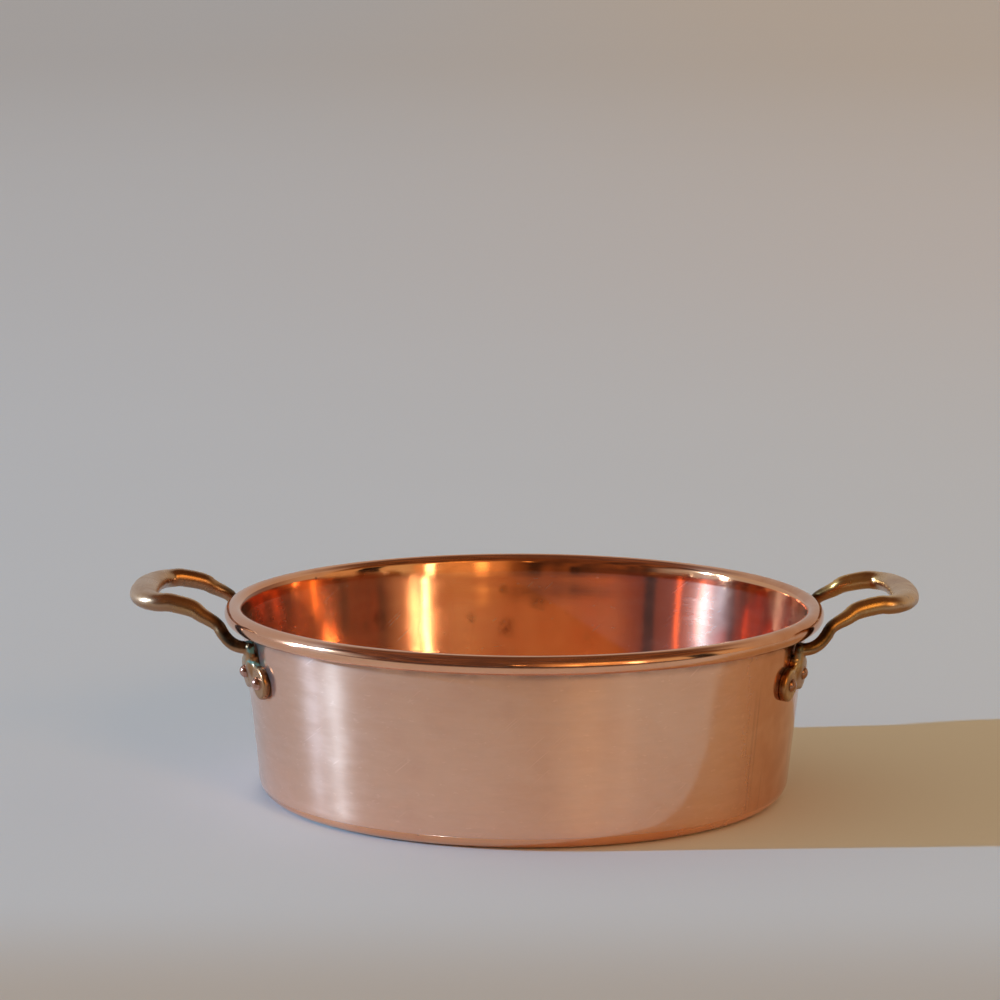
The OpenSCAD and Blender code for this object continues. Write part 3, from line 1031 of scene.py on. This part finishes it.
def room_color(g):
    """The room as the metal sees it: pale paper behind, lamplit and warm in front, dim above."""
    way = g.vector("NORMALIZE", g.place())
    side, depth, rise = g.node("SeparateXYZ", Vector=way).outputs
    flat_way = g.vector("NORMALIZE", g.node("CombineXYZ", X=side, Y=depth).outputs[0])
    patches = g.noise(g.vector("MULTIPLY", way, patch_scale), 1.0)
    low = g.between(rise, 0.62, 0.35)
    tone = g.mix(g.between(patches, 0.4, 0.62), room_dark, room_brown)
    near_lamp = g.product(towards(g, flat_way, 298, 17, 8), low,
                          g.between(patches, 0.3, 0.6, 0.6, 1.0))
    tone = g.mix(near_lamp, tone, lamplit)
    tone = g.mix(g.product(towards(g, flat_way, 345, 24, 5), low), tone, plaster)
    tone = g.mix(dark_shapes(g, flat_way, rise), tone, room_black)
    paper = g.mix(g.between(side, -0.6, 0.7), back_paper_left, back_paper_right)
    behind = g.product(g.between(depth, 0.02, 0.14), g.between(rise, 0.85, 0.6))
    tone = g.mix(behind, tone, paper)
    left = g.product(g.between(side, -0.8, -0.95), g.between(rise, 0.75, 0.45))
    return g.mix(left, tone, left_paper)


def front_color(g):
    """Table and floor in front of the paper: pale near the pan, dark beyond."""
    depth = g.node("SeparateXYZ", Vector=g.place()).outputs[1]
    return g.mix(g.between(depth, *ground_depth), ground_dark, ground_near)


def add_room():
    """The room that the metal mirrors: a shell, the dark ground in front, lamps and the window."""
    work = bmesh.new()
    bmesh.ops.create_icosphere(work, subdivisions=4, radius=room_radius)
    room = new_object("room", mesh_of(work, "room"))
    dress(room, glow("room", room_color))
    only_reflected(room)
    place = Matrix.Translation(front_place) @ Matrix.Diagonal((*front_size, 1, 1))
    only_reflected(flat_sheet("front", place, glow("front", front_color)))
    card("lamp_right", azimuth=311, elevation=12, wide=0.28, high=1.2,
         color=(1.0, 0.75, 0.5), strength=5.5)
    card("lamp_front", azimuth=288, elevation=9, wide=0.35, high=0.7,
         color=(1.0, 0.62, 0.25), strength=2.2)
    card("lamp_low", azimuth=268, elevation=16, wide=0.16, high=0.3,
         color=(1.0, 0.6, 0.25), strength=4.0)
    card("window_glass", azimuth=175, elevation=12, wide=0.2, high=1.2,
         color=(0.6, 0.85, 1.2), strength=72.0)


def add_sun(name, azimuth, elevation, energy, color, angle):
    """A far lamp, with its angles in degrees. Azimuth 180 stands on the left, at -X."""
    lamp = bpy.data.lights.new(name, "SUN")
    lamp.energy = energy
    lamp.color = color
    lamp.angle = math.radians(angle)
    holder = bpy.data.objects.new(name, lamp)
    a, e = math.radians(azimuth), math.radians(elevation)
    way = Vector((math.cos(a) * math.cos(e), math.sin(a) * math.cos(e), math.sin(e)))
    holder.rotation_mode = "QUATERNION"
    holder.rotation_quaternion = way.to_track_quat("Z", "Y")
    bpy.context.scene.collection.objects.link(holder)
    return holder


def add_suns():
    """The window as one sun for dull things and one for polished ones, and a weak warm lamp."""
    window = add_sun("window", azimuth=186, elevation=18, energy=3.3,
                     color=(0.2, 0.57, 1.0), angle=1.2)
    window.visible_glossy = False
    shine = add_sun("window_shine", azimuth=184, elevation=18, energy=2.9,
                    color=(0.53, 0.77, 1.0), angle=1.2)
    shine.visible_diffuse = False
    add_sun("lamp", azimuth=298, elevation=24, energy=0.45, color=(1.0, 0.52, 0.14), angle=14)


# Camera: its film and lens in millimetres, its place in metres and its turns in radians
film_width = 36
lens = 142.2
camera_place = (-0.0156, -2.470, 0.5636)
pitch = 0.1512
roll = 0.0035


def add_camera():
    """The camera that looks down a little on the pan from the front."""
    data = bpy.data.cameras.new("camera")
    data.sensor_width = film_width
    data.lens = lens
    camera = bpy.data.objects.new("camera", data)
    turn = Matrix.Rotation(math.pi / 2 - pitch, 4, "X") @ Matrix.Rotation(roll, 4, "Z")
    camera.matrix_world = Matrix.Translation(camera_place) @ turn
    bpy.context.scene.collection.objects.link(camera)
    bpy.context.scene.camera = camera


copper = copper_material()
brass = brass_material()
rivet_copper = rivet_material()
pan = new_object("pan", pan_mesh(), "copper")
dress(pan, copper)
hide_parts("pan_body")
for side in ("left", "right"):
    handle = new_object(side + "_handle_cast", handle_mesh(side == "left"), "handle_brass")
    dress(handle, brass)
    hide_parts(side + "_handle")
for name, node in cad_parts.items():
    if "rivet" in name:
        dress(node, rivet_copper)
dress(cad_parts["rim_wire"], wire_material())
add_floor()
add_world()
add_room()
add_suns()
add_camera()
bpy.context.scene.view_settings.view_transform = "Standard"
